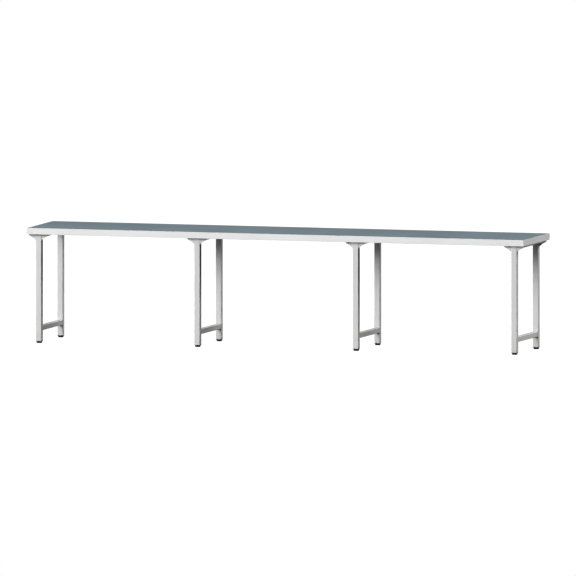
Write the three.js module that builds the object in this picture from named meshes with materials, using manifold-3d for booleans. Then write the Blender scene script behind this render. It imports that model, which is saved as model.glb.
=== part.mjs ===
// Work platform bench: a long deck carried by four welded tube frames on levelling feet.
//
// Millimetres. +X runs along the deck, +Y to the back, +Z up. The origin is on the floor,
// under the middle of the deck. Frames are numbered from the left.

import * as THREE from 'three';
import { mergeVertices } from 'three/addons/utils/BufferGeometryUtils.js';
import Module from 'manifold-3d';

const wasm = await Module();
wasm.setup();

// ---- Driving dimensions ----

const ROUND_SEGMENTS = 20;
const SCREW_HOLE_SEGMENTS = 10;
const CORNER_SEGMENTS = 3;
const FITTING_GAP = 0.3; // between pieces that slide into or past each other
const RUNNING_CLEARANCE = 0.1; // on the radius, round a turning shaft

// Deck: a board with a laminate on top and an edge band all round.
const DECK_LENGTH = 4000;
const DECK_DEPTH = 690;
const DECK_TOP = 890;
const SURFACE_THICKNESS = 2;
const CORE_THICKNESS = 47;
const EDGE_THICKNESS = 3;
const EDGE_ROUNDING = 1.5;

// Frames: two legs under a head channel, joined near the floor by a rail.
const FRAME_COUNT = 4;
const FRAME_PITCH = 1275;
const FRONT_INSET = 32.5; // from the deck's front edge to the legs' front faces
const BACK_INSET = 47.5;
const LEG_SIZE = 45;
const RAIL_SIZE = 40;
const TUBE_WALL = 2;
const TUBE_ROUNDING = 4;
const RAIL_BOTTOM = 96;

const CHANNEL_WIDTH = 155;
const CHANNEL_HEIGHT = 13;
const CHANNEL_SHEET = 2.5;
const CHANNEL_BEND = 2.5; // inside radius
const SCREW_HOLE_RADIUS = 3.5;
const SCREW_COLUMN = 55; // from the channel's middle
const SCREW_ROWS = [-200, 0, 200];

const GUSSET_REACH = 50;
const GUSSET_DROP = 35;
const GUSSET_THICKNESS = 5;
const GUSSET_TOE = 2.5; // blunt width of both tips
const GUSSET_HOLLOW = 5; // how far the curve's middle is pulled towards the corner

// Levelling feet: a threaded stem in a plug in the leg, standing in a pad.
const INSERT_FLANGE = 5;
const INSERT_DEPTH = 25;
const INSERT_RECESS_RADIUS = 11; // takes the hexagon when the foot is screwed right in
const PAD_HEIGHT = 11.7;
const PAD_BOTTOM_RADIUS = 21;
const PAD_TOP_RADIUS = 21.5;
const PAD_CHAMFER = 1;
const STEM_RADIUS = 5;
const STEM_TOP = 50;
const STEM_CHAMFER = 1;
const PIVOT_RADIUS = 4.5;
const PIVOT_BOTTOM = 1.5;
const HEX_ACROSS_FLATS = 17;
const HEX_THICKNESS = 4.7;

// ---- Levels and places worked out from them ----

const SURFACE_BOTTOM = DECK_TOP - SURFACE_THICKNESS;
const DECK_BOTTOM = SURFACE_BOTTOM - CORE_THICKNESS;
const EDGE_HEIGHT = DECK_TOP - DECK_BOTTOM;
const CHANNEL_BOTTOM = DECK_BOTTOM - CHANNEL_HEIGHT;
const INSERT_BOTTOM = PAD_HEIGHT + FITTING_GAP;
const HEX_BOTTOM = PAD_HEIGHT + FITTING_GAP;
const LEG_BOTTOM = INSERT_BOTTOM + INSERT_FLANGE;
const FRONT_FACE = FRONT_INSET - DECK_DEPTH / 2;
const BACK_FACE = DECK_DEPTH / 2 - BACK_INSET;

// ---- Materials ----

const materials = {
  laminate: new THREE.MeshStandardMaterial({ color: 0x6f7f88, roughness: 0.55, metalness: 0 }),
  board: new THREE.MeshStandardMaterial({ color: 0x6a7074, roughness: 0.7, metalness: 0 }),
  edging: new THREE.MeshStandardMaterial({ color: 0xe5e6e7, roughness: 0.45, metalness: 0 }),
  paint: new THREE.MeshStandardMaterial({ color: 0xcfd1ce, roughness: 0.5, metalness: 0.1 }),
  plastic: new THREE.MeshStandardMaterial({ color: 0x121212, roughness: 0.6, metalness: 0 }),
  rubber: new THREE.MeshStandardMaterial({ color: 0x0c0c0c, roughness: 0.8, metalness: 0 }),
  zinc: new THREE.MeshStandardMaterial({ color: 0xb9bdc0, roughness: 0.35, metalness: 1 }),
};

// ---- Helpers ----

function piece(name, geometry, material) {
  const mesh = new THREE.Mesh(geometry, material);
  mesh.name = name;
  return mesh;
}

function toSolid(geometry) {
  const bare = geometry.clone();
  bare.deleteAttribute('normal');
  bare.deleteAttribute('uv');
  const merged = mergeVertices(bare);
  return new wasm.Manifold(new wasm.Mesh({
    numProp: 3,
    vertProperties: new Float32Array(merged.attributes.position.array),
    triVerts: new Uint32Array(merged.index.array),
  }));
}

function toGeometry(solid) {
  const mesh = solid.getMesh();
  const geometry = new THREE.BufferGeometry();
  geometry.setAttribute('position', new THREE.BufferAttribute(mesh.vertProperties, 3));
  geometry.setIndex(new THREE.BufferAttribute(mesh.triVerts, 1));
  return geometry;
}

function roundedSquare(size, radius, Outline = THREE.Shape) {
  const half = size / 2;
  const centre = half - radius;
  const outline = new Outline();
  outline.moveTo(-centre, -half);
  outline.lineTo(centre, -half);
  outline.absarc(centre, -centre, radius, -Math.PI / 2, 0);
  outline.lineTo(half, centre);
  outline.absarc(centre, centre, radius, 0, Math.PI / 2);
  outline.lineTo(-centre, half);
  outline.absarc(-centre, centre, radius, Math.PI / 2, Math.PI);
  outline.lineTo(-half, -centre);
  outline.absarc(-centre, -centre, radius, Math.PI, 1.5 * Math.PI);
  return outline;
}

function extrude(outline, depth) {
  return new THREE.ExtrudeGeometry(outline, {
    depth,
    curveSegments: CORNER_SEGMENTS,
    bevelEnabled: false,
  });
}

// Stands an extrusion up so that its outline lies in XZ, centred on Y = 0.
function alongY(geometry, depth) {
  geometry.translate(0, 0, -depth / 2);
  geometry.rotateX(Math.PI / 2);
  return geometry;
}

function uprightCylinder(radius, bottom, height, sides = ROUND_SEGMENTS) {
  const geometry = new THREE.CylinderGeometry(radius, radius, height, sides);
  geometry.rotateX(Math.PI / 2);
  geometry.translate(0, 0, bottom + height / 2);
  return geometry;
}

// Turns a profile of [radius, level] pairs about the Z axis.
function turned(profile) {
  const points = profile.map(([radius, level]) => new THREE.Vector2(radius, level));
  const geometry = new THREE.LatheGeometry(points, ROUND_SEGMENTS);
  geometry.rotateX(Math.PI / 2);
  return geometry;
}

// ---- Deck ----

function deckPlate(thickness, bottom) {
  const length = DECK_LENGTH - 2 * EDGE_THICKNESS;
  const depth = DECK_DEPTH - 2 * EDGE_THICKNESS;
  const geometry = new THREE.BoxGeometry(length, depth, thickness);
  geometry.translate(0, 0, bottom + thickness / 2);
  return geometry;
}

function edgeBand() {
  const outline = new THREE.Shape();
  const x = DECK_LENGTH / 2 - EDGE_ROUNDING;
  const y = DECK_DEPTH / 2 - EDGE_ROUNDING;
  outline.moveTo(-x, -y);
  outline.lineTo(x, -y);
  outline.lineTo(x, y);
  outline.lineTo(-x, y);
  outline.closePath();
  const outside = new THREE.ExtrudeGeometry(outline, {
    depth: EDGE_HEIGHT - 2 * EDGE_ROUNDING,
    bevelThickness: EDGE_ROUNDING,
    bevelSize: EDGE_ROUNDING,
    bevelSegments: CORNER_SEGMENTS,
  });
  outside.translate(0, 0, DECK_BOTTOM + EDGE_ROUNDING);
  const inside = deckPlate(2 * EDGE_HEIGHT, DECK_BOTTOM - EDGE_HEIGHT / 2);
  return toGeometry(toSolid(outside).subtract(toSolid(inside)));
}

function deck() {
  const group = new THREE.Group();
  group.add(
    piece('deck_surface', deckPlate(SURFACE_THICKNESS, SURFACE_BOTTOM), materials.laminate),
    piece('deck_core', deckPlate(CORE_THICKNESS, DECK_BOTTOM), materials.board),
    piece('deck_edge_band', edgeBand(), materials.edging),
  );
  return group;
}

// ---- Frame pieces ----

function squareTube(size, length) {
  const outline = roundedSquare(size, TUBE_ROUNDING);
  const bore = roundedSquare(size - 2 * TUBE_WALL, TUBE_ROUNDING - TUBE_WALL, THREE.Path);
  outline.holes.push(bore);
  return extrude(outline, length);
}

// A trough seen from its end: upright sides, a flat bottom and a bend between them.
function troughOutline(half, bottom, top, bend) {
  const outline = new THREE.Shape();
  const centre = half - bend;
  outline.moveTo(-half, top);
  outline.lineTo(-half, bottom + bend);
  outline.absarc(-centre, bottom + bend, bend, Math.PI, 1.5 * Math.PI);
  outline.lineTo(centre, bottom);
  outline.absarc(centre, bottom + bend, bend, 1.5 * Math.PI, 2 * Math.PI);
  outline.lineTo(half, top);
  outline.closePath();
  return outline;
}

// A shallow channel that opens upwards against the deck, with a plate across each end.
function headChannel() {
  const half = CHANNEL_WIDTH / 2;
  const length = BACK_FACE - FRONT_FACE;
  const hollowLength = length - 2 * CHANNEL_SHEET;
  const outside = troughOutline(half, 0, CHANNEL_HEIGHT, CHANNEL_BEND + CHANNEL_SHEET);
  const hollow = troughOutline(half - CHANNEL_SHEET, CHANNEL_SHEET, 2 * CHANNEL_HEIGHT, CHANNEL_BEND);
  let solid = toSolid(alongY(extrude(outside, length), length));
  solid = solid.subtract(toSolid(alongY(extrude(hollow, hollowLength), hollowLength)));
  for (const x of [-SCREW_COLUMN, SCREW_COLUMN]) {
    for (const y of SCREW_ROWS) {
      const height = 3 * CHANNEL_SHEET;
      const hole = uprightCylinder(SCREW_HOLE_RADIUS, -CHANNEL_SHEET, height, SCREW_HOLE_SEGMENTS);
      hole.translate(x, y, 0);
      solid = solid.subtract(toSolid(hole));
    }
  }
  return toGeometry(solid);
}

// The plate's right angle is at the origin: it reaches along X and drops along Z.
function gussetPlate(side) {
  const outline = new THREE.Shape();
  const middleX = (GUSSET_REACH + GUSSET_TOE) / 2 - GUSSET_HOLLOW;
  const middleZ = -(GUSSET_DROP + GUSSET_TOE) / 2 + GUSSET_HOLLOW;
  outline.moveTo(0, 0);
  outline.lineTo(side * GUSSET_REACH, 0);
  outline.lineTo(side * GUSSET_REACH, -GUSSET_TOE);
  outline.quadraticCurveTo(side * middleX, middleZ, side * GUSSET_TOE, -GUSSET_DROP);
  outline.lineTo(0, -GUSSET_DROP);
  outline.closePath();
  return alongY(extrude(outline, GUSSET_THICKNESS), GUSSET_THICKNESS);
}

// ---- Levelling foot pieces ----

// A plug inside the tube, a flange under its end, a hole for the stem and a recess for its hexagon.
function footInsert() {
  const plugSize = LEG_SIZE - 2 * TUBE_WALL - 2 * FITTING_GAP;
  const plug = extrude(roundedSquare(plugSize, TUBE_ROUNDING - TUBE_WALL), INSERT_DEPTH + INSERT_FLANGE);
  plug.translate(0, 0, INSERT_BOTTOM);
  const flange = extrude(roundedSquare(LEG_SIZE, TUBE_ROUNDING), INSERT_FLANGE);
  flange.translate(0, 0, INSERT_BOTTOM);
  const holeRadius = STEM_RADIUS + RUNNING_CLEARANCE;
  const hole = uprightCylinder(holeRadius, INSERT_BOTTOM - INSERT_FLANGE, 3 * INSERT_DEPTH);
  const recess = uprightCylinder(INSERT_RECESS_RADIUS, INSERT_BOTTOM - INSERT_FLANGE, 2 * INSERT_FLANGE);
  const outside = toSolid(plug).add(toSolid(flange));
  return toGeometry(outside.subtract(toSolid(hole)).subtract(toSolid(recess)));
}

// A pivot at the bottom, a hexagon for the spanner and a long shank, in one.
function footStem() {
  const shoulder = HEX_BOTTOM + HEX_THICKNESS / 2;
  const profile = [
    [0, PIVOT_BOTTOM],
    [PIVOT_RADIUS, PIVOT_BOTTOM],
    [PIVOT_RADIUS, shoulder],
    [STEM_RADIUS, shoulder],
    [STEM_RADIUS, STEM_TOP - STEM_CHAMFER],
    [STEM_RADIUS - STEM_CHAMFER, STEM_TOP],
    [0, STEM_TOP],
  ];
  const hexRadius = HEX_ACROSS_FLATS / 2 / Math.cos(Math.PI / 6);
  const hexagon = uprightCylinder(hexRadius, HEX_BOTTOM, HEX_THICKNESS, 6);
  return toGeometry(toSolid(turned(profile)).add(toSolid(hexagon)));
}

// A round pad with a socket for the pivot.
function footPad() {
  const socketRadius = PIVOT_RADIUS + RUNNING_CLEARANCE;
  const socketBottom = PIVOT_BOTTOM - FITTING_GAP;
  return turned([
    [0, 0],
    [PAD_BOTTOM_RADIUS - PAD_CHAMFER, 0],
    [PAD_BOTTOM_RADIUS, PAD_CHAMFER],
    [PAD_TOP_RADIUS, PAD_HEIGHT - PAD_CHAMFER],
    [PAD_TOP_RADIUS - PAD_CHAMFER, PAD_HEIGHT],
    [socketRadius, PAD_HEIGHT],
    [socketRadius, socketBottom],
    [0, socketBottom],
  ]);
}

// ---- Assembly ----

// One leg with what is on it. outward is -1 for a front leg and 1 for a back leg.
function leg(label, outward) {
  const group = new THREE.Group();
  const tube = piece(`leg_${label}`, squareTube(LEG_SIZE, CHANNEL_BOTTOM - LEG_BOTTOM), materials.paint);
  tube.position.z = LEG_BOTTOM;
  group.add(tube);
  for (const [word, side] of [['left', -1], ['right', 1]]) {
    const gusset = piece(`gusset_${label}_${word}`, gussetPlate(side), materials.paint);
    const setback = LEG_SIZE / 2 - TUBE_ROUNDING - GUSSET_THICKNESS / 2;
    gusset.position.set((side * LEG_SIZE) / 2, outward * setback, CHANNEL_BOTTOM);
    group.add(gusset);
  }
  group.add(
    piece(`foot_insert_${label}`, footInsert(), materials.plastic),
    piece(`foot_stem_${label}`, footStem(), materials.zinc),
    piece(`foot_pad_${label}`, footPad(), materials.rubber),
  );
  return group;
}

function frame(number) {
  const group = new THREE.Group();
  const middle = (FRONT_FACE + BACK_FACE) / 2;
  const channel = piece(`head_channel_${number}`, headChannel(), materials.paint);
  channel.position.set(0, middle, CHANNEL_BOTTOM);

  const railLength = BACK_FACE - FRONT_FACE - 2 * LEG_SIZE;
  const railGeometry = alongY(squareTube(RAIL_SIZE, railLength), railLength);
  const rail = piece(`foot_rail_${number}`, railGeometry, materials.paint);
  rail.position.set(0, middle, RAIL_BOTTOM + RAIL_SIZE / 2);

  const frontLeg = leg(`${number}_front`, -1);
  frontLeg.position.y = FRONT_FACE + LEG_SIZE / 2;
  const backLeg = leg(`${number}_back`, 1);
  backLeg.position.y = BACK_FACE - LEG_SIZE / 2;

  group.add(channel, rail, frontLeg, backLeg);
  return group;
}

const bench = new THREE.Group();
bench.add(deck());
for (let i = 0; i < FRAME_COUNT; i++) {
  const standing = frame(i + 1);
  standing.position.x = (i - (FRAME_COUNT - 1) / 2) * FRAME_PITCH;
  bench.add(standing);
}

export default bench;
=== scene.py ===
import math

import bmesh
import bpy
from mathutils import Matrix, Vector


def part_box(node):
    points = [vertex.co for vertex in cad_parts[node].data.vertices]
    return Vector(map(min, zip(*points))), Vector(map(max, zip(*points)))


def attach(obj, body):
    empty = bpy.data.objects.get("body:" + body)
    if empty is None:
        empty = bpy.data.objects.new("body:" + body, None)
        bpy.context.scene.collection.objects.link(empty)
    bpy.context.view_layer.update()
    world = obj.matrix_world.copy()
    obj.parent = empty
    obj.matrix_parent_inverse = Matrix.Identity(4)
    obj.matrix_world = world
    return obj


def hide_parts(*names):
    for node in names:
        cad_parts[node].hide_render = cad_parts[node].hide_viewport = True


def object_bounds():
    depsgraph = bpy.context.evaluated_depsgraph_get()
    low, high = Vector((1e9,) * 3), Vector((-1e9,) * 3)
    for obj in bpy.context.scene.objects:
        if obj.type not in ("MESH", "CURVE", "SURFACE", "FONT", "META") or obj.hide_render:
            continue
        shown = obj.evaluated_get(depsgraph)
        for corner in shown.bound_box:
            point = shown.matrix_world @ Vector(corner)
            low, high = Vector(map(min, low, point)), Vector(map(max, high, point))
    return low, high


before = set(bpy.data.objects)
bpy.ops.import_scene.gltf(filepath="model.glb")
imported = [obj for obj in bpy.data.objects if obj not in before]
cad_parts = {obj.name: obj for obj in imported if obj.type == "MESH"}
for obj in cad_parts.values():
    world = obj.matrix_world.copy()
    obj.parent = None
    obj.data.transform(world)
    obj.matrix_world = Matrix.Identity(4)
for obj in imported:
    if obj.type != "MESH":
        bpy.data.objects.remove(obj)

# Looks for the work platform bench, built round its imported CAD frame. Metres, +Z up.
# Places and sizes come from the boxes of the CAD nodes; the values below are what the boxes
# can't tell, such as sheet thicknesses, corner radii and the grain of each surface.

cad_low, cad_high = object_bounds()

# ---- Sizes ----

MM = 0.001

EDGE_ROUNDING = 1.5 * MM
EDGE_JOINT = 0.15 * MM  # hairline between two strips of edging at a corner
EDGE_STEPS = 5

TUBE_ROUNDING = 4 * MM
TUBE_WALL = 2 * MM
TUBE_CORNER_STEPS = 6

CHANNEL_SHEET = 2.5 * MM
CHANNEL_BEND = 2.5 * MM
CHANNEL_BEND_STEPS = 6
SCREW_COLUMN = 55 * MM
SCREW_ROWS = (-200 * MM, 0.0, 200 * MM)

GUSSET_TOE = 2.5 * MM
GUSSET_HOLLOW = 5 * MM
GUSSET_CURVE_STEPS = 14
PLATE_BEVEL = 0.5 * MM

WELD_SIZE = 3 * MM
WELD_RIPPLE = 2.4 * MM
WELD_STEP = 0.6 * MM
WELD_LEAST_STEPS = 6
WELD_END_SHARE = 0.3  # size of a bead's ends, as a share of its full size
WELD_RIPPLE_SHARE = 0.1

PIVOT_RADIUS = 4.5 * MM
PIVOT_CHAMFER = 0.5 * MM
HEX_BOTTOM = 12.0 * MM
HEX_TOP = 16.7 * MM
HEX_CHAMFER = 0.5 * MM
STEM_RADIUS = 5 * MM
STEM_SIDES = 36
THREAD_PITCH = 1.5 * MM
THREAD_DEPTH = 0.8 * MM
THREAD_ROWS_PER_TURN = 6

PAD_BATTER = 0.5 * MM  # how much narrower the pad is at its bottom
PAD_RIM = 1.2 * MM
PAD_SMALL_RIM = 0.6 * MM
PAD_FOOT_RIM = 1.0 * MM
PAD_SHOULDER = 0.3 * MM  # how far the ribs' top is set back under the rim
PAD_SOLE = 2.4 * MM
PAD_GROOVE_DEPTH = 0.5 * MM
PAD_GROOVE_HEIGHT = 0.8 * MM
PAD_GROOVE_SLOPE = 0.2 * MM
PAD_DISH_RADIUS = 17 * MM
PAD_DISH_INNER = 11 * MM
PAD_DISH_DEPTH = 1.0 * MM
PAD_SOCKET_RADIUS = 4.6 * MM
PAD_SOCKET_FLOOR = 1.2 * MM
PAD_RIM_STEPS = 4
RIB_COUNT = 36
RIB_DEPTH = 0.35 * MM
PLUG_CLEARANCE = 0.3 * MM
PLUG_RIM = 0.8 * MM
PLUG_RIM_STEPS = 3
PLUG_BORE_RADIUS = 5.1 * MM
PLUG_RECESS_RADIUS = 11 * MM
PLUG_TAPER = 2 * MM

WASHER_RADIUS = 8.5 * MM
WASHER_THICKNESS = 1.2 * MM
WASHER_RIM = 0.3 * MM
SCREW_HEAD_RADIUS = 5.5 * MM
SCREW_HEAD_HEIGHT = 3.2 * MM
SCREW_DOME = ((0.72, 0.0), (0.93, 0.28), (1.0, 0.75))  # shares of the head's radius and height
SCREW_SOCKET_RADIUS = 2.6 * MM
SCREW_SOCKET_DEPTH = 2.0 * MM
SCREW_SIDES = 36

# Heights and widths of what use has left on the surfaces.
RUBBED_RIM = 12 * MM
EDGE_DUST_HEIGHT = 6 * MM
FRAME_DUST_FROM = 160 * MM
FRAME_DUST_TO = 10 * MM
SOLE_DUST_HEIGHT = 3 * MM
BALANCING_SHEET = 0.4 * MM

# Wear by vertex, from 0 for none to 1 for the most, where it isn't worked out from a corner.
SHEET_EDGE_WEAR = 0.6
PLATE_EDGE_WEAR = 0.5
PLUG_SHOULDER_WEAR = 0.3
PAD_SIDE_WEAR = 0.8

# ---- Mesh helpers ----


def mesh_piece(name, verts, faces, material, body, smooth_degrees=None, wear=None):
    """A mesh object in the CAD model's frame that rides on a body. wear has a number for each vertex."""
    mesh = bpy.data.meshes.new(name)
    mesh.from_pydata([tuple(v) for v in verts], [], faces)
    mesh.validate()
    if smooth_degrees is not None:
        mesh.shade_smooth()
        mesh.set_sharp_from_angle(angle=math.radians(smooth_degrees))
    if wear is not None:
        mesh.attributes.new("wear", "FLOAT", "POINT").data.foreach_set("value", wear)
    mesh.materials.append(material)
    piece = bpy.data.objects.new(name, mesh)
    bpy.context.scene.collection.objects.link(piece)
    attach(piece, body)
    return piece


def keep_flats_flat(piece):
    """Rounds only the corners of a smooth-shaded piece, and leaves its large faces flat."""
    normals = piece.modifiers.new("flat_faces", "WEIGHTED_NORMAL")
    normals.keep_sharp = True
    return piece


def soften_edges(piece, width, segments=2):
    bevel = piece.modifiers.new("soft_edges", "BEVEL")
    bevel.width = width
    bevel.segments = segments
    bevel.limit_method = "ANGLE"
    bevel.harden_normals = True
    return piece


def arc(centre, radius, start, end, steps):
    """Points on an arc, angles in degrees."""
    points = []
    for i in range(steps + 1):
        angle = math.radians(start + (end - start) * i / steps)
        points.append((centre[0] + radius * math.cos(angle), centre[1] + radius * math.sin(angle)))
    return points


def rounded_rectangle(width, height, radius, steps):
    """An anticlockwise outline, and each point's wear: 1 at the middle of a corner, 0 at its ends."""
    x, y = width / 2 - radius, height / 2 - radius
    outline, wear = [], []
    for corner, (sx, sy) in enumerate(((1, -1), (1, 1), (-1, 1), (-1, -1))):
        start = -90 + 90 * corner
        outline += arc((sx * x, sy * y), radius, start, start + 90, steps)
        wear += [math.sin(math.pi * i / steps) for i in range(steps + 1)]
    return outline, wear


def loft(rings, closed_ends=True):
    """Faces that join rings with the same number of points, listed one after another."""
    count = len(rings[0])
    verts = [v for ring in rings for v in ring]
    faces = []
    for r in range(len(rings) - 1):
        for i in range(count):
            j = (i + 1) % count
            low, high = r * count, (r + 1) * count
            faces.append((low + i, low + j, high + j, high + i))
    if closed_ends:
        last = (len(rings) - 1) * count
        faces.append(tuple(reversed(range(count))))
        faces.append(tuple(range(last, last + count)))
    return verts, faces


def lathe(profile, centre, steps, radius_at):
    """Turns (radius, level) pairs about an upright axis. The profile starts and ends on the axis.
    radius_at(radius, level, angle) gives the radius all round."""
    verts, faces = [], []
    rings = []
    for radius, level in profile:
        if radius == 0.0:
            rings.append([len(verts)])
            verts.append((centre[0], centre[1], level))
            continue
        ring = []
        for i in range(steps):
            angle = 2 * math.pi * i / steps
            r = radius_at(radius, level, angle)
            ring.append(len(verts))
            x, y = centre[0] + r * math.cos(angle), centre[1] + r * math.sin(angle)
            verts.append((x, y, level))
        rings.append(ring)
    for low, high in zip(rings, rings[1:]):
        for i in range(steps):
            j = (i + 1) % steps
            if len(low) == 1:
                faces.append((low[0], high[j], high[i]))
            elif len(high) == 1:
                faces.append((low[i], low[j], high[0]))
            else:
                faces.append((low[i], low[j], high[j], high[i]))
    return verts, faces


# ---- Material helpers ----


class Nodes:
    """Short ways to add shader nodes to one material."""

    def __init__(self, name):
        self.material = bpy.data.materials.new(name)
        self.material.use_nodes = True
        self.tree = self.material.node_tree
        self.shader = self.tree.nodes["Principled BSDF"]
        self.place = self.tree.nodes.new("ShaderNodeTexCoord").outputs["Object"]

    def link(self, source, target):
        self.tree.links.new(source, target)

    def stretched(self, scale):
        node = self.tree.nodes.new("ShaderNodeMapping")
        node.inputs["Scale"].default_value = scale
        self.link(self.place, node.inputs["Vector"])
        return node.outputs["Vector"]

    def noise(self, scale, detail=3.0, roughness=0.5, vector=None):
        node = self.tree.nodes.new("ShaderNodeTexNoise")
        node.inputs["Scale"].default_value = scale
        node.inputs["Detail"].default_value = detail
        node.inputs["Roughness"].default_value = roughness
        self.link(vector or self.place, node.inputs["Vector"])
        return node.outputs["Fac"]

    def cells(self, scale, feature="F1", vector=None):
        node = self.tree.nodes.new("ShaderNodeTexVoronoi")
        node.feature = feature
        node.inputs["Scale"].default_value = scale
        self.link(vector or self.place, node.inputs["Vector"])
        return node

    def ramp(self, value, low, high, to_low=0.0, to_high=1.0):
        node = self.tree.nodes.new("ShaderNodeMapRange")
        node.interpolation_type = "SMOOTHSTEP"
        node.inputs["From Min"].default_value = low
        node.inputs["From Max"].default_value = high
        node.inputs["To Min"].default_value = to_low
        node.inputs["To Max"].default_value = to_high
        self.link(value, node.inputs["Value"])
        return node.outputs["Result"]

    def maths(self, operation, a, b=None):
        node = self.tree.nodes.new("ShaderNodeMath")
        node.operation = operation
        for value, socket in zip((a, b), node.inputs):
            if value is None:
                continue
            if isinstance(value, (int, float)):
                socket.default_value = value
            else:
                self.link(value, socket)
        return node.outputs["Value"]

    def mix(self, factor, a, b):
        """A colour mix; a and b are colours or sockets."""
        node = self.tree.nodes.new("ShaderNodeMix")
        node.data_type = "RGBA"
        for name, value in (("A", a), ("B", b)):
            socket = next(s for s in node.inputs if s.name == name and s.type == "RGBA")
            if isinstance(value, tuple):
                socket.default_value = (*value, 1.0)
            else:
                self.link(value, socket)
        self.link(factor, node.inputs["Factor"])
        return next(s for s in node.outputs if s.type == "RGBA")

    def wear(self):
        node = self.tree.nodes.new("ShaderNodeAttribute")
        node.attribute_name = "wear"
        return node.outputs["Fac"]

    def position(self):
        node = self.tree.nodes.new("ShaderNodeSeparateXYZ")
        self.link(self.place, node.inputs["Vector"])
        return node.outputs

    def bump(self, height, depth, strength=1.0, under=None):
        node = self.tree.nodes.new("ShaderNodeBump")
        node.inputs["Distance"].default_value = depth
        node.inputs["Strength"].default_value = strength
        self.link(height, node.inputs["Height"])
        if under is not None:
            self.link(under, node.inputs["Normal"])
        return node.outputs["Normal"]

    def finish(self, colour, roughness, normal, metallic=0.0, specular=0.5):
        self.link(colour, self.shader.inputs["Base Color"])
        self.link(roughness, self.shader.inputs["Roughness"])
        self.link(normal, self.shader.inputs["Normal"])
        self.shader.inputs["Metallic"].default_value = metallic
        self.shader.inputs["Specular IOR Level"].default_value = specular
        return self.material


def grey(value, tint=(1.0, 1.0, 1.0)):
    return tuple(value * t for t in tint)


# ---- Materials ----


def laminate_material(half_length, half_depth):
    """Blue-grey laminate: fine pebble texture, cloudy tone, faint scuffs along X, rubbed rim."""
    n = Nodes("deck_laminate")
    clouds = n.noise(2.2, detail=4)
    speckle = n.noise(420, detail=2)
    tone = n.mix(n.ramp(clouds, 0.3, 0.7), (0.140, 0.186, 0.212), (0.163, 0.214, 0.243))
    tone = n.mix(n.ramp(speckle, 0.55, 0.75, 0.0, 0.35), tone, (0.225, 0.275, 0.300))
    scuffs = n.ramp(n.noise(3.0, 6, 0.7, n.stretched((0.6, 22.0, 22.0))), 0.60, 0.72)
    tone = n.mix(n.maths("MULTIPLY", scuffs, 0.16), tone, (0.27, 0.31, 0.33))
    x, y, _ = n.position()
    near_end = n.ramp(n.maths("ABSOLUTE", x), half_length - RUBBED_RIM, half_length)
    near_side = n.ramp(n.maths("ABSOLUTE", y), half_depth - RUBBED_RIM, half_depth)
    rim = n.maths("MAXIMUM", near_end, near_side)
    rubbed = n.maths("MULTIPLY", rim, n.ramp(n.noise(35, 4), 0.40, 0.65, 0.1, 0.5))
    tone = n.mix(rubbed, tone, (0.24, 0.285, 0.31))
    roughness = n.maths("ADD", n.ramp(clouds, 0.3, 0.7, 0.58, 0.66), n.ramp(scuffs, 0, 1, 0.0, -0.1))
    pebbles = n.cells(620, "SMOOTH_F1").outputs["Distance"]
    normal = n.bump(pebbles, 0.06 * MM, 0.6)
    normal = n.bump(scuffs, 0.02 * MM, 0.4, normal)
    return n.finish(tone, roughness, normal, specular=0.3)


def edging_material(low):
    """Light grey plastic edging: fine grain, sheen from handling, dust under the bottom corner."""
    n = Nodes("edge_band")
    clouds = n.noise(3.5, detail=3)
    tone = n.mix(n.ramp(clouds, 0.3, 0.7), grey(0.735), grey(0.77, (0.995, 1.0, 1.005)))
    marks = n.ramp(n.noise(9, 8, 0.75, n.stretched((0.5, 1.0, 4.0))), 0.63, 0.75)
    tone = n.mix(n.maths("MULTIPLY", marks, 0.14), tone, grey(0.50))
    worn = n.maths("MULTIPLY", n.wear(), n.ramp(n.noise(60, 5, 0.7), 0.45, 0.7, 0.0, 0.5))
    tone = n.mix(worn, tone, grey(0.62, (1.0, 0.99, 0.97)))
    _, _, z = n.position()
    low_down = n.ramp(z, low + EDGE_DUST_HEIGHT, low, 0.0, 0.25)
    dust = n.maths("MULTIPLY", low_down, n.ramp(clouds, 0.3, 0.6))
    tone = n.mix(dust, tone, grey(0.48, (1.0, 0.98, 0.94)))
    sheen = n.ramp(n.noise(40, 4), 0.3, 0.7, 0.36, 0.46)
    roughness = n.maths("ADD", sheen, n.ramp(marks, 0, 1, 0, 0.12))
    grain = n.noise(1500, 2, 0.5, n.stretched((0.35, 0.35, 1.0)))
    normal = n.bump(grain, 0.03 * MM, 0.5)
    return n.finish(tone, roughness, normal)


def paint_material():
    """Light grey powder coat: orange peel, thin wear on the corners, dust low down, small chips."""
    n = Nodes("frame_paint")
    clouds = n.noise(4, detail=4)
    tint = (0.99, 1.0, 0.985)
    tone = n.mix(n.ramp(clouds, 0.3, 0.7), grey(0.600, tint), grey(0.640, tint))
    freckles = n.ramp(n.noise(700, 1), 0.66, 0.74, 0.0, 0.12)
    tone = n.mix(freckles, tone, grey(0.42))
    rubbed = n.maths("MULTIPLY", n.wear(), n.ramp(n.noise(45, 5, 0.65), 0.42, 0.62, 0.05, 0.55))
    tone = n.mix(rubbed, tone, grey(0.72))
    chips = n.maths("MULTIPLY", n.wear(), n.ramp(n.noise(160, 6, 0.8), 0.655, 0.68))
    tone = n.mix(chips, tone, grey(0.20, (1.0, 0.99, 0.97)))
    _, _, z = n.position()
    low_down = n.ramp(z, FRAME_DUST_FROM, FRAME_DUST_TO, 0.0, 0.22)
    dust = n.maths("MULTIPLY", low_down, n.ramp(n.noise(18, 5), 0.35, 0.7))
    tone = n.mix(dust, tone, grey(0.42, (1.0, 0.97, 0.92)))
    roughness = n.maths("ADD", n.ramp(clouds, 0.3, 0.7, 0.40, 0.50), n.ramp(dust, 0, 1, 0, 0.4))
    peel = n.noise(520, 2, 0.45)
    normal = n.bump(peel, 0.05 * MM, 0.55)
    normal = n.bump(n.ramp(chips, 0, 1, 1, 0), 0.08 * MM, 0.8, normal)
    return n.finish(tone, roughness, normal, specular=0.45)


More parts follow.
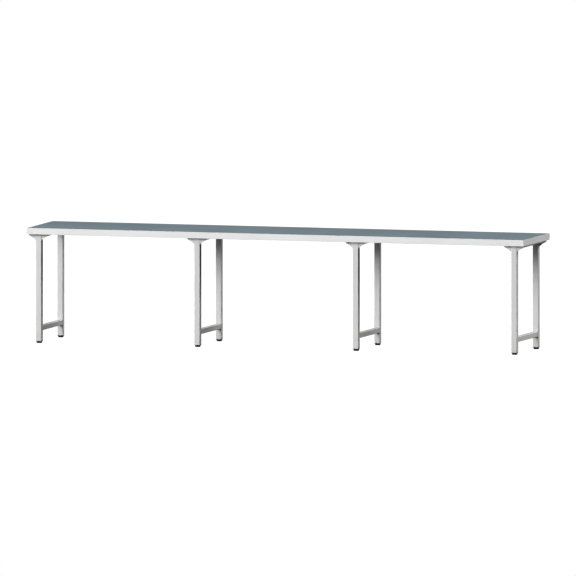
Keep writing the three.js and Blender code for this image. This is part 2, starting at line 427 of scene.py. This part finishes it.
def board_material(bottom):
    """Pressed board with a grey balancing sheet beneath."""
    n = Nodes("deck_board")
    _, _, z = n.position()
    flakes = n.cells(260, vector=n.stretched((1.0, 1.0, 3.0))).outputs["Color"]
    split = n.tree.nodes.new("ShaderNodeSeparateColor")
    n.link(flakes, split.inputs["Color"])
    raw = n.mix(split.outputs["Red"], (0.36, 0.25, 0.14), (0.56, 0.42, 0.26))
    clouds = n.noise(3, detail=4)
    tint = (0.92, 1.0, 1.05)
    sheet = n.mix(n.ramp(clouds, 0.3, 0.7), grey(0.150, tint), grey(0.185, tint))
    smudges = n.ramp(n.noise(14, 6, 0.7), 0.55, 0.75, 0.0, 0.4)
    sheet = n.mix(smudges, sheet, grey(0.23))
    tone = n.mix(n.ramp(z, bottom + 2 * BALANCING_SHEET, bottom + BALANCING_SHEET), raw, sheet)
    roughness = n.ramp(clouds, 0.3, 0.7, 0.62, 0.74)
    normal = n.bump(n.noise(500, 3), 0.05 * MM, 0.6)
    return n.finish(tone, roughness, normal, specular=0.3)


def plastic_material():
    """Black moulded plastic with a fine spark-eroded grain and greyed corners."""
    n = Nodes("foot_plastic")
    tone = n.mix(n.ramp(n.noise(60, 4), 0.3, 0.7), grey(0.004), grey(0.008))
    rubbed = n.maths("MULTIPLY", n.wear(), n.ramp(n.noise(220, 5, 0.7), 0.45, 0.65, 0.1, 0.6))
    tone = n.mix(rubbed, tone, grey(0.030))
    roughness = n.ramp(n.noise(90, 4), 0.3, 0.7, 0.48, 0.62)
    normal = n.bump(n.noise(2200, 2), 0.03 * MM, 0.6)
    return n.finish(tone, roughness, normal, specular=0.2)


def rubber_material():
    """Black rubber: dull, a little dust along the bottom."""
    n = Nodes("foot_rubber")
    tone = n.mix(n.ramp(n.noise(80, 5), 0.3, 0.7), grey(0.004), grey(0.008))
    _, _, z = n.position()
    low_down = n.ramp(z, SOLE_DUST_HEIGHT, 0.0, 0.0, 0.5)
    dust = n.maths("MULTIPLY", low_down, n.ramp(n.noise(240, 5), 0.4, 0.7))
    tone = n.mix(dust, tone, grey(0.030, (1.0, 0.95, 0.88)))
    rubbed = n.maths("MULTIPLY", n.wear(), n.ramp(n.noise(300, 4), 0.45, 0.65, 0.1, 0.6))
    tone = n.mix(rubbed, tone, grey(0.025))
    roughness = n.ramp(n.noise(120, 4), 0.3, 0.7, 0.72, 0.86)
    normal = n.bump(n.noise(1600, 3), 0.04 * MM, 0.7)
    return n.finish(tone, roughness, normal, specular=0.1)


def zinc_material():
    """Bright zinc plate: faint yellow and blue bloom, turning marks round the shank."""
    n = Nodes("zinc_steel")
    bloom = n.noise(45, detail=3)
    tone = n.mix(n.ramp(bloom, 0.35, 0.65), (0.60, 0.60, 0.57), (0.55, 0.58, 0.62))
    stains = n.ramp(n.noise(180, 6, 0.75), 0.60, 0.75, 0.0, 0.5)
    tone = n.mix(stains, tone, (0.40, 0.39, 0.37))
    roughness = n.maths("ADD", n.ramp(bloom, 0.3, 0.7, 0.24, 0.36), n.ramp(stains, 0, 1, 0, 0.3))
    rings = n.noise(900, 3, 0.6, n.stretched((0.05, 0.05, 1.0)))
    normal = n.bump(rings, 0.02 * MM, 0.4)
    return n.finish(tone, roughness, normal, metallic=1.0)


surface_low, surface_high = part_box("deck_surface")
core_low, core_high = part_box("deck_core")
band_low, band_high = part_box("deck_edge_band")

laminate = laminate_material(surface_high.x, surface_high.y)
edging = edging_material(band_low.z)
paint = paint_material()
board = board_material(core_low.z)
plastic = plastic_material()
rubber = rubber_material()
zinc = zinc_material()

# ---- Deck ----


def give_material(node, material):
    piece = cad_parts[node]
    piece.data.materials.clear()
    piece.data.materials.append(material)


def strip_section(thickness, height, inset):
    """Outline of the edging as (depth, level), rounded outside. inset shrinks it near a rounded end."""
    radius = EDGE_ROUNDING - inset
    centre_depth = thickness - EDGE_ROUNDING
    outline = [(0.0, inset)]
    outline += arc((centre_depth, EDGE_ROUNDING), radius, -90, 0, EDGE_STEPS)
    outline += arc((centre_depth, height - EDGE_ROUNDING), radius, 0, 90, EDGE_STEPS)
    outline.append((0.0, height - inset))
    return outline


def edge_strip(name, start, end, outward, rounded_ends):
    """One strip of edging. start and end are on its bottom, at the deck's outer face."""
    thickness = surface_low.x - band_low.x
    height = band_high.z - band_low.z
    along = (end - start).normalized()
    out = Vector(outward)
    stations = [(0.0, 0.0, 0.0), ((end - start).length, 0.0, 0.0)]
    if rounded_ends:
        ramp = []
        for i in range(1, EDGE_STEPS + 1):
            turn = 0.5 * math.pi * i / EDGE_STEPS
            place = EDGE_ROUNDING * (1 - math.cos(turn))
            ramp.append((place, EDGE_ROUNDING * (1 - math.sin(turn)), math.sin(2 * turn)))
        length = (end - start).length
        stations = ramp + [(length - place, inset, worn) for place, inset, worn in reversed(ramp)]
    arc_wear = [math.sin(math.pi * i / EDGE_STEPS) for i in range(EDGE_STEPS + 1)]
    section_wear = [0.0] + arc_wear + arc_wear + [0.0]
    rings, wear = [], []
    for place, inset, worn in stations:
        foot = start + along * place - out * thickness
        section = strip_section(thickness, height, inset)
        rings.append([foot + out * depth + Vector((0, 0, level)) for depth, level in section])
        wear += [max(worn, w) for w in section_wear]
    verts, faces = loft(rings)
    if along.cross(out).z < 0:
        faces = [f[::-1] for f in faces]
    piece = mesh_piece(name, verts, faces, edging, "bench", 50, wear)
    keep_flats_flat(piece)
    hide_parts("deck_edge_band")


def deck():
    give_material("deck_surface", laminate)
    give_material("deck_core", board)
    x0, y0, z = band_low
    x1, y1 = band_high.x, band_high.y
    inner = surface_low.y - band_low.y + EDGE_JOINT
    edge_strip("edge_strip_front", Vector((x0, y0, z)), Vector((x1, y0, z)), (0, -1, 0), True)
    edge_strip("edge_strip_back", Vector((x0, y1, z)), Vector((x1, y1, z)), (0, 1, 0), True)
    y0, y1 = y0 + inner, y1 - inner
    edge_strip("edge_strip_left", Vector((x0, y0, z)), Vector((x0, y1, z)), (-1, 0, 0), False)
    edge_strip("edge_strip_right", Vector((x1, y0, z)), Vector((x1, y1, z)), (1, 0, 0), False)


# ---- Frames ----


def square_tube(node):
    """An open square tube in the place of a CAD node, along its longest side."""
    low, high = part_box(node)
    size = high - low
    centre = (low + high) / 2
    axis = max(range(3), key=lambda a: size[a])
    across = [a for a in range(3) if a != axis]
    width, height = size[across[0]], size[across[1]]
    outer, outer_wear = rounded_rectangle(width, height, TUBE_ROUNDING, TUBE_CORNER_STEPS)
    inner, _ = rounded_rectangle(
        width - 2 * TUBE_WALL, height - 2 * TUBE_WALL, TUBE_ROUNDING - TUBE_WALL, TUBE_CORNER_STEPS
    )
    verts = []
    for outline, end in ((outer, low), (outer, high), (inner, high), (inner, low)):
        for a, b in outline:
            v = centre.copy()
            v[axis] = end[axis]
            v[across[0]] += a
            v[across[1]] += b
            verts.append(v)
    count = len(outer)
    flip = axis == 1  # X then Z across is left-handed about Y
    faces = []
    for ring in range(4):
        for i in range(count):
            j = (i + 1) % count
            low_ring, high_ring = ring * count, (ring + 1) % 4 * count
            face = (low_ring + i, low_ring + j, high_ring + j, high_ring + i)
            faces.append(face[::-1] if flip else face)
    wear = outer_wear * 2 + [0.0] * (2 * count)
    piece = mesh_piece(f"tube_{node}", verts, faces, paint, "bench", 40, wear)
    keep_flats_flat(piece)
    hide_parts(node)
    return piece


def head_channel(node):
    """A shallow bent channel that opens upwards, with a plate set in each end."""
    low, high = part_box(node)
    half = (high.x - low.x) / 2
    middle = (high.x + low.x) / 2
    top = high.z - low.z
    outer = CHANNEL_BEND + CHANNEL_SHEET
    steps = CHANNEL_BEND_STEPS
    section = [(-half, top)]
    section += arc((outer - half, outer), outer, 180, 270, steps)
    section += arc((half - outer, outer), outer, 270, 360, steps)
    section.append((half, top))
    hollow = [(half - CHANNEL_SHEET, top)]
    hollow += arc((half - outer, outer), CHANNEL_BEND, 0, -90, steps)
    hollow += arc((outer - half, outer), CHANNEL_BEND, 270, 180, steps)
    hollow.append((CHANNEL_SHEET - half, top))
    bend = [math.sin(math.pi * i / steps) for i in range(steps + 1)]
    outer_wear = [SHEET_EDGE_WEAR] + bend + bend + [SHEET_EDGE_WEAR]
    hollow_wear = [SHEET_EDGE_WEAR] + [0.0] * (2 * steps + 2) + [SHEET_EDGE_WEAR]

    def ring(outline, y):
        return [Vector((middle + x, y, low.z + z)) for x, z in outline]

    verts, faces = loft([ring(section + hollow, high.y), ring(section + hollow, low.y)])
    wear = (outer_wear + hollow_wear) * 2
    for y in (low.y, high.y - CHANNEL_SHEET):
        plate_verts, plate_faces = loft([ring(hollow, y), ring(hollow, y + CHANNEL_SHEET)])
        faces += [tuple(i + len(verts) for i in face) for face in plate_faces]
        verts += plate_verts
        wear += [0.0] * len(plate_verts)
    piece = mesh_piece(f"channel_{node[-1]}", verts, faces, paint, "bench", 40, wear)
    keep_flats_flat(piece)
    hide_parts(node)
    return piece


def gusset(node):
    """A thin triangular plate with a slightly hollow long edge and softened corners."""
    low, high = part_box(node)
    side = -1 if node.endswith("left") else 1
    root = high.x if side < 0 else low.x
    reach, drop = high.x - low.x, high.z - low.z
    start = (reach, -GUSSET_TOE)
    end = (GUSSET_TOE, -drop)
    pull = ((reach + GUSSET_TOE) / 2 - GUSSET_HOLLOW, -(drop + GUSSET_TOE) / 2 + GUSSET_HOLLOW)
    outline = [(0.0, 0.0), (reach, 0.0)]
    for i in range(GUSSET_CURVE_STEPS + 1):
        t = i / GUSSET_CURVE_STEPS
        weights = ((1 - t) ** 2, 2 * t * (1 - t), t * t)
        x = sum(w * p[0] for w, p in zip(weights, (start, pull, end)))
        z = sum(w * p[1] for w, p in zip(weights, (start, pull, end)))
        outline.append((x, z))
    outline.append((0.0, -drop))
    rings = [[Vector((root + side * x, y, high.z + z)) for x, z in outline] for y in (low.y, high.y)]
    if side < 0:
        rings.reverse()
    verts, faces = loft(rings)
    joined = [x < GUSSET_TOE / 2 or z > -GUSSET_TOE / 2 for x, z in outline]
    wear = [0.0 if at_joint else PLATE_EDGE_WEAR for at_joint in joined] * 2
    piece = mesh_piece(f"plate_{node}", verts, faces, paint, "bench", 30, wear)
    soften_edges(piece, PLATE_BEVEL)
    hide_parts(node)
    return piece


# ---- Welds ----

# Sections of a bead, as shares of its size along the two faces that it joins, with its root sunk
# into the metal. A fillet lies in a square corner, and a flare beside a tube's rounded edge.
FILLET = [
    (-0.4, -0.4),
    (1.0, -0.4),
    (1.0, 0.0),
    (0.88, 0.2),
    (0.63, 0.63),
    (0.2, 0.88),
    (0.0, 1.0),
    (-0.4, 1.0),
]
FLARE = [
    (-0.5, -0.5),
    (1.0, -0.5),
    (1.0, 0.0),
    (0.6, 0.24),
    (0.25, 0.43),
    (-0.1, 0.57),
    (-0.45, 0.62),
    (-0.8, 0.4),
]


def bead(section, start, end, side_a, side_b):
    """Verts and faces of a bead along start to end. It swells and dips as the weld pool was laid."""
    length = (end - start).length
    steps = max(WELD_LEAST_STEPS, round(length / WELD_STEP))
    a, b = Vector(side_a), Vector(side_b)
    rings = []
    for i in range(steps + 1):
        place = length * i / steps
        from_end = min(place, length - place)
        taper = math.sqrt(min(1.0, from_end / WELD_SIZE))
        ripple = abs(math.sin(math.pi * place / WELD_RIPPLE))
        size = WELD_SIZE * (WELD_END_SHARE + (1 - WELD_END_SHARE) * taper)
        size *= 1 - WELD_RIPPLE_SHARE + WELD_RIPPLE_SHARE * ripple
        centre = start.lerp(end, i / steps)
        rings.append([centre + (a * u + b * v) * size for u, v in section])
    verts, faces = loft(rings)
    if (end - start).dot(a.cross(b)) < 0:
        faces = [f[::-1] for f in faces]
    return verts, faces


def welds(name, beads):
    """Joins beads into one piece. Each bead is (section, start, end, side_a, side_b)."""
    verts, faces = [], []
    for parts in beads:
        more_verts, more_faces = bead(*parts)
        offset = len(verts)
        verts += more_verts
        faces += [tuple(i + offset for i in f) for f in more_faces]
    return mesh_piece(name, verts, faces, paint, "bench", 60)


def gusset_beads(leg_face_x, side, plate_low, plate_high):
    """Beads down both faces of a gusset at the leg, and along both faces at the channel."""
    up, down = plate_high.z, (0, 0, -1)
    tip_x = plate_low.x if side < 0 else plate_high.x
    beads = []
    for y, out in ((plate_low.y, -1), (plate_high.y, 1)):
        corner = Vector((leg_face_x, y, up))
        beads.append((FILLET, corner, Vector((leg_face_x, y, plate_low.z)), (side, 0, 0), (0, out, 0)))
        beads.append((FILLET, corner, Vector((tip_x, y, up)), (0, out, 0), down))
    return beads


def head_welds(label):
    """Beads round the head of one leg: inside, on both sides, and along both gussets."""
    low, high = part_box(f"leg_{label}")
    up, down = high.z, (0, 0, -1)
    inward = 1 if label.endswith("front") else -1
    inner_y = high.y if inward > 0 else low.y
    ends = (Vector((low.x + TUBE_ROUNDING, inner_y, up)), Vector((high.x - TUBE_ROUNDING, inner_y, up)))
    beads = [(FILLET, *ends, (0, inward, 0), down)]
    for word, side, face_x in (("left", -1, low.x), ("right", 1, high.x)):
        plate_low, plate_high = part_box(f"gusset_{label}_{word}")
        beads += gusset_beads(face_x, side, plate_low, plate_high)
        plate_y = plate_high.y if inward > 0 else plate_low.y
        start = Vector((face_x, plate_y + inward * WELD_SIZE, up))
        end = Vector((face_x, inner_y - inward * TUBE_ROUNDING, up))
        beads.append((FILLET, start, end, (side, 0, 0), down))
    return welds(f"weld_head_{label}", beads)


def rail_welds(number):
    """Beads over, under and beside each end of a foot rail."""
    low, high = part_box(f"foot_rail_{number}")
    beads = []
    for y, inward in ((low.y, 1), (high.y, -1)):
        for z, out in ((low.z, -1), (high.z, 1)):
            ends = (Vector((low.x + TUBE_ROUNDING, y, z)), Vector((high.x - TUBE_ROUNDING, y, z)))
            beads.append((FILLET, *ends, (0, inward, 0), (0, 0, out)))
        for x, out in ((low.x, -1), (high.x, 1)):
            ends = (Vector((x, y, low.z)), Vector((x, y, high.z)))
            beads.append((FLARE, *ends, (0, inward, 0), (out, 0, 0)))
    return welds(f"weld_rail_{number}", beads)


# ---- Screws under the deck ----


def wood_screw(name, x, y, top):
    """The head of a wood screw and its washer, below the channel's floor. top is that floor's level."""
    face = top - WASHER_THICKNESS
    low = face - SCREW_HEAD_HEIGHT
    profile = [
        (0.0, low + SCREW_SOCKET_DEPTH),
        (SCREW_SOCKET_RADIUS, low + SCREW_SOCKET_DEPTH),
        (SCREW_SOCKET_RADIUS, low),
        *[(SCREW_HEAD_RADIUS * r, low + SCREW_HEAD_HEIGHT * h) for r, h in SCREW_DOME],
        (SCREW_HEAD_RADIUS, face),
        (WASHER_RADIUS - WASHER_RIM, face),
        (WASHER_RADIUS, face + WASHER_RIM),
        (WASHER_RADIUS, top),
        (0.0, top),
    ]

    def hexagonal(radius, level, angle):
        if radius != SCREW_SOCKET_RADIUS:
            return radius
        sector = math.pi / 3
        return radius * math.cos(sector / 2) / math.cos(angle % sector - sector / 2)

    verts, faces = lathe(profile, (x, y), SCREW_SIDES, hexagonal)
    return mesh_piece(name, verts, faces, zinc, "bench", 35)


def screws(number):
    low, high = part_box(f"head_channel_{number}")
    middle_x, middle_y = (low.x + high.x) / 2, (low.y + high.y) / 2
    for i, x in enumerate((-SCREW_COLUMN, SCREW_COLUMN)):
        for k, y in enumerate(SCREW_ROWS):
            wood_screw(f"screw_{number}_{i + 1}_{k + 1}", middle_x + x, middle_y + y, low.z)


# ---- Levelling feet ----


def insert_plug(label):
    """A black plug: a flange with a recess and rounded rims, and a plain body inside the tube."""
    node = f"foot_insert_{label}"
    low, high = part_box(node)
    leg_low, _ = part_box(f"leg_{label}")
    centre = (low + high) / 2
    size = high.x - low.x
    flange_top = leg_low.z
    plug = size - 2 * (TUBE_WALL + PLUG_CLEARANCE)
    steps = TUBE_CORNER_STEPS
    count = 4 * (steps + 1)

    def ring(width, radius, level):
        outline, _ = rounded_rectangle(width, width, radius, steps)
        return [Vector((centre.x + x, centre.y + y, level)) for x, y in outline]

    def hole(radius, level):
        points = []
        for i in range(count):
            angle = 2 * math.pi * (i + 0.5) / count - 0.5 * math.pi
            x, y = radius * math.cos(angle), radius * math.sin(angle)
            points.append(Vector((centre.x + x, centre.y + y, level)))
        return points

    rings = [hole(PLUG_RECESS_RADIUS, low.z)]
    for i in range(PLUG_RIM_STEPS + 1):
        angle = 0.5 * math.pi * i / PLUG_RIM_STEPS
        inset = PLUG_RIM * (1 - math.sin(angle))
        level = low.z + PLUG_RIM * (1 - math.cos(angle))
        rings.append(ring(size - 2 * inset, TUBE_ROUNDING - inset, level))
    rings.append(ring(size, TUBE_ROUNDING, flange_top))
    rings.append(ring(plug, TUBE_ROUNDING - TUBE_WALL, flange_top))
    rings.append(ring(plug, TUBE_ROUNDING - TUBE_WALL, high.z - PLUG_TAPER))
    rings.append(ring(plug - PLUG_TAPER, TUBE_ROUNDING - TUBE_WALL, high.z))
    rings.append(hole(PLUG_BORE_RADIUS, high.z))
    rings.append(hole(PLUG_BORE_RADIUS, flange_top))
    rings.append(hole(PLUG_RECESS_RADIUS, flange_top))
    verts, faces = loft(rings, closed_ends=False)
    last = (len(rings) - 1) * count
    for i in range(count):
        j = (i + 1) % count
        faces.append((last + i, last + j, j, i))
    rim_wear = [1.0] * ((PLUG_RIM_STEPS + 1) * count)
    wear = [0.0] * count + rim_wear + [PLUG_SHOULDER_WEAR] * count + [0.0] * (6 * count)
    piece = mesh_piece(f"plug_{label}", verts, faces, plastic, "bench", 35, wear)
    keep_flats_flat(piece)
    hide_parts(node)
    return piece


def foot_pad(label):
    """A round moulded pad with a rolled rim, fine grip ribs and a shallow dish round its socket."""
    node = f"foot_pad_{label}"
    low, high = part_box(node)
    centre = (low + high) / 2
    top_radius = (high.x - low.x) / 2
    bottom_radius = top_radius - PAD_BATTER
    sole = low.z + PAD_SOLE
    rib_low, rib_high = sole + PAD_GROOVE_HEIGHT, high.z - 2 * PAD_RIM
    groove_radius = bottom_radius - PAD_GROOVE_DEPTH
    foot_centre = (bottom_radius - PAD_FOOT_RIM, low.z + PAD_FOOT_RIM)
    rim_centre = (top_radius - PAD_RIM, high.z - PAD_RIM)
    socket_centre = (PAD_SOCKET_RADIUS + PAD_SMALL_RIM, high.z - PAD_SMALL_RIM)
    profile = [(0.0, low.z)]
    profile += arc(foot_centre, PAD_FOOT_RIM, -90, 0, PAD_RIM_STEPS)
    profile += [
        (bottom_radius, sole),
        (groove_radius, sole + PAD_GROOVE_SLOPE),
        (groove_radius, rib_low - PAD_GROOVE_SLOPE),
        (bottom_radius, rib_low),
        (top_radius - PAD_SHOULDER, rib_high),
    ]
    profile += arc(rim_centre, PAD_RIM, 0, 90, PAD_RIM_STEPS)
    profile += [
        (PAD_DISH_RADIUS, high.z),
        (PAD_DISH_RADIUS - PAD_DISH_DEPTH, high.z - PAD_DISH_DEPTH),
        (PAD_DISH_INNER + PAD_DISH_DEPTH, high.z - PAD_DISH_DEPTH),
        (PAD_DISH_INNER, high.z),
    ]
    profile += arc(socket_centre, PAD_SMALL_RIM, 90, 180, PAD_RIM_STEPS)
    profile += [
        (PAD_SOCKET_RADIUS, low.z + PAD_SOCKET_FLOOR),
        (0.0, low.z + PAD_SOCKET_FLOOR),
    ]

    def ribbed(radius, level, angle):
        if radius < bottom_radius or not rib_low <= level <= rib_high:
            return radius
        return radius - RIB_DEPTH * (0.5 - 0.5 * math.cos(RIB_COUNT * angle))

    verts, faces = lathe(profile, (centre.x, centre.y), 4 * RIB_COUNT, ribbed)
    reach = [math.hypot(x - centre.x, y - centre.y) for x, y, _ in verts]
    wear = [PAD_SIDE_WEAR if r > bottom_radius else 0.0 for r in reach]
    piece = mesh_piece(f"pad_{label}", verts, faces, rubber, f"pad_{label}", 40, wear)
    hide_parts(node)
    return piece


def thread_radius(level, angle, low, high):
    """The radius of a right-hand thread between two levels, fading out at both ends."""
    turn = (level / THREAD_PITCH - angle / (2 * math.pi)) % 1.0
    from_low = min(1.0, (level - low) / THREAD_PITCH)
    from_high = min(1.0, (high - level) / THREAD_PITCH)
    groove = THREAD_DEPTH * abs(2 * turn - 1) * from_low
    return STEM_RADIUS - max(groove, THREAD_DEPTH * (1 - from_high))


def hexagon_radius(angle, flats):
    """Half the width of a hexagon with flats across X, in the direction of an angle."""
    sector = math.pi / 3
    return flats / math.cos((angle + sector / 2) % sector - sector / 2)


def foot_stem(label):
    """A zinc-plated stem: a pivot, a chamfered hexagon and a shank with a helical thread."""
    node = f"foot_stem_{label}"
    low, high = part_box(node)
    centre = (low + high) / 2
    flats = (high.x - low.x) / 2
    chamfered = flats + HEX_CHAMFER
    thread_low = HEX_TOP
    rings = []

    def add_ring(level, radius_at):
        ring = []
        for i in range(STEM_SIDES):
            angle = 2 * math.pi * i / STEM_SIDES
            r = radius_at(angle)
            ring.append(Vector((centre.x + r * math.cos(angle), centre.y + r * math.sin(angle), level)))
        rings.append(ring)

    add_ring(low.z, lambda angle: PIVOT_RADIUS - PIVOT_CHAMFER)
    add_ring(low.z + PIVOT_CHAMFER, lambda angle: PIVOT_RADIUS)
    add_ring(HEX_BOTTOM, lambda angle: PIVOT_RADIUS)
    add_ring(HEX_BOTTOM, lambda angle: flats - HEX_CHAMFER)
    add_ring(HEX_BOTTOM + HEX_CHAMFER, lambda angle: min(hexagon_radius(angle, flats), chamfered))
    add_ring(HEX_BOTTOM + 2 * HEX_CHAMFER, lambda angle: hexagon_radius(angle, flats))
    add_ring(HEX_TOP - 2 * HEX_CHAMFER, lambda angle: hexagon_radius(angle, flats))
    add_ring(HEX_TOP - HEX_CHAMFER, lambda angle: min(hexagon_radius(angle, flats), chamfered))
    add_ring(HEX_TOP, lambda angle: flats - HEX_CHAMFER)
    rows = round((high.z - thread_low) / THREAD_PITCH * THREAD_ROWS_PER_TURN)
    for i in range(rows + 1):
        level = thread_low + (high.z - thread_low) * i / rows
        add_ring(level, lambda angle: thread_radius(level, angle, thread_low, high.z))
    verts, faces = loft(rings)
    piece = mesh_piece(f"stem_{label}", verts, faces, zinc, f"stem_{label}", 50)
    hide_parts(node)
    return piece


# ---- The whole bench ----

deck()
for node in sorted(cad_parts):
    if node.startswith(("leg_", "foot_rail_")):
        square_tube(node)
    elif node.startswith("gusset_"):
        gusset(node)
    elif node.startswith("head_channel_"):
        number = node[-1]
        head_channel(node)
        rail_welds(number)
        screws(number)
    elif node.startswith("foot_insert_"):
        label = node.removeprefix("foot_insert_")
        head_welds(label)
        insert_plug(label)
        foot_pad(label)
        foot_stem(label)

# ---- Floor, light and camera ----

CAMERA_AZIMUTH = 17.0
CAMERA_ELEVATION = 4.67
CAMERA_WIDTH = 4.432  # what the parallel view spans
CAMERA_DISTANCE = 12.0
CAMERA_REACH = 100.0
CAMERA_AIM = (-0.9 * MM, 1.9 * MM)  # right and up of the bench's middle
FLOOR_SIZE = 60.0
FLOOR_DROP = 15 * MM  # the feet reach this far down when they are screwed out
FLOOR_TONE = 0.10
FLOOR_GLOW = 1.0
AMBIENT = 0.02
SOFTBOX_DISTANCE = 80.0
SOFTBOX_SIZE = 29.0
LAMPS = (  # name, azimuth, elevation, watts
    ("front", -13, 20, 15900),
    ("front_low", -13, 8, 13300),
    ("front_left", -45, 20, 50000),
    ("left", -80, 30, 19100),
    ("right", 98, 34, 28000),
    ("behind", 150, 30, 42000),
)


def direction(azimuth, elevation):
    """The way from the bench towards a viewer or a lamp. Azimuth 0 is the front, 90 the right."""
    a, e = math.radians(azimuth), math.radians(elevation)
    return Vector((math.sin(a) * math.cos(e), -math.cos(a) * math.cos(e), math.sin(e)))


def floor():
    """A floor that glows enough to look plain white, and doesn't light or mirror in the bench."""
    mesh = bpy.data.meshes.new("floor")
    grid = bmesh.new()
    bmesh.ops.create_grid(grid, x_segments=1, y_segments=1, size=FLOOR_SIZE / 2)
    grid.to_mesh(mesh)
    grid.free()
    piece = bpy.data.objects.new("floor", mesh)
    piece.location.z = cad_low.z - FLOOR_DROP
    bpy.context.scene.collection.objects.link(piece)
    material = bpy.data.materials.new("floor")
    material.use_nodes = True
    shader = material.node_tree.nodes["Principled BSDF"]
    shader.inputs["Base Color"].default_value = (FLOOR_TONE, FLOOR_TONE, FLOOR_TONE, 1.0)
    shader.inputs["Roughness"].default_value = 1.0
    shader.inputs["Specular IOR Level"].default_value = 0.0
    shader.inputs["Emission Color"].default_value = (1.0, 1.0, 1.0, 1.0)
    shader.inputs["Emission Strength"].default_value = FLOOR_GLOW
    mesh.materials.append(material)
    piece.visible_diffuse = False
    piece.visible_glossy = False


def softbox(name, azimuth, elevation, watts):
    data = bpy.data.lights.new(name, "AREA")
    data.shape = "SQUARE"
    data.size = SOFTBOX_SIZE
    data.energy = watts
    lamp = bpy.data.objects.new(name, data)
    back = direction(azimuth, elevation)
    lamp.location = (cad_low + cad_high) / 2 + back * SOFTBOX_DISTANCE
    lamp.rotation_mode = "QUATERNION"
    lamp.rotation_quaternion = (-back).to_track_quat("-Z", "Y")
    lamp.visible_camera = False
    bpy.context.scene.collection.objects.link(lamp)


def surroundings():
    """A white room to the camera, and a dimmer one as a source of light."""
    world = bpy.data.worlds.new("studio")
    bpy.context.scene.world = world
    world.use_nodes = True
    tree = world.node_tree
    tree.nodes.clear()
    seen = tree.nodes.new("ShaderNodeBackground")
    seen.inputs["Color"].default_value = (1.0, 1.0, 1.0, 1.0)
    light = tree.nodes.new("ShaderNodeBackground")
    light.inputs["Color"].default_value = (AMBIENT, AMBIENT, AMBIENT, 1.0)
    rays = tree.nodes.new("ShaderNodeLightPath")
    mix = tree.nodes.new("ShaderNodeMixShader")
    out = tree.nodes.new("ShaderNodeOutputWorld")
    tree.links.new(rays.outputs["Is Camera Ray"], mix.inputs["Fac"])
    tree.links.new(light.outputs["Background"], mix.inputs[1])
    tree.links.new(seen.outputs["Background"], mix.inputs[2])
    tree.links.new(mix.outputs["Shader"], out.inputs["Surface"])


def camera():
    data = bpy.data.cameras.new("camera")
    data.type = "ORTHO"
    data.ortho_scale = CAMERA_WIDTH
    data.clip_end = CAMERA_REACH
    eye = bpy.data.objects.new("camera", data)
    back = direction(CAMERA_AZIMUTH, CAMERA_ELEVATION)
    right = Vector((0, 0, 1)).cross(back).normalized()
    aim = (cad_low + cad_high) / 2 + right * CAMERA_AIM[0] + back.cross(right) * CAMERA_AIM[1]
    eye.location = aim + back * CAMERA_DISTANCE
    eye.rotation_mode = "QUATERNION"
    eye.rotation_quaternion = (-back).to_track_quat("-Z", "Y")
    bpy.context.scene.collection.objects.link(eye)
    bpy.context.scene.camera = eye


floor()
surroundings()
for lamp in LAMPS:
    softbox(*lamp)
camera()
bpy.context.scene.view_settings.view_transform = "Standard"
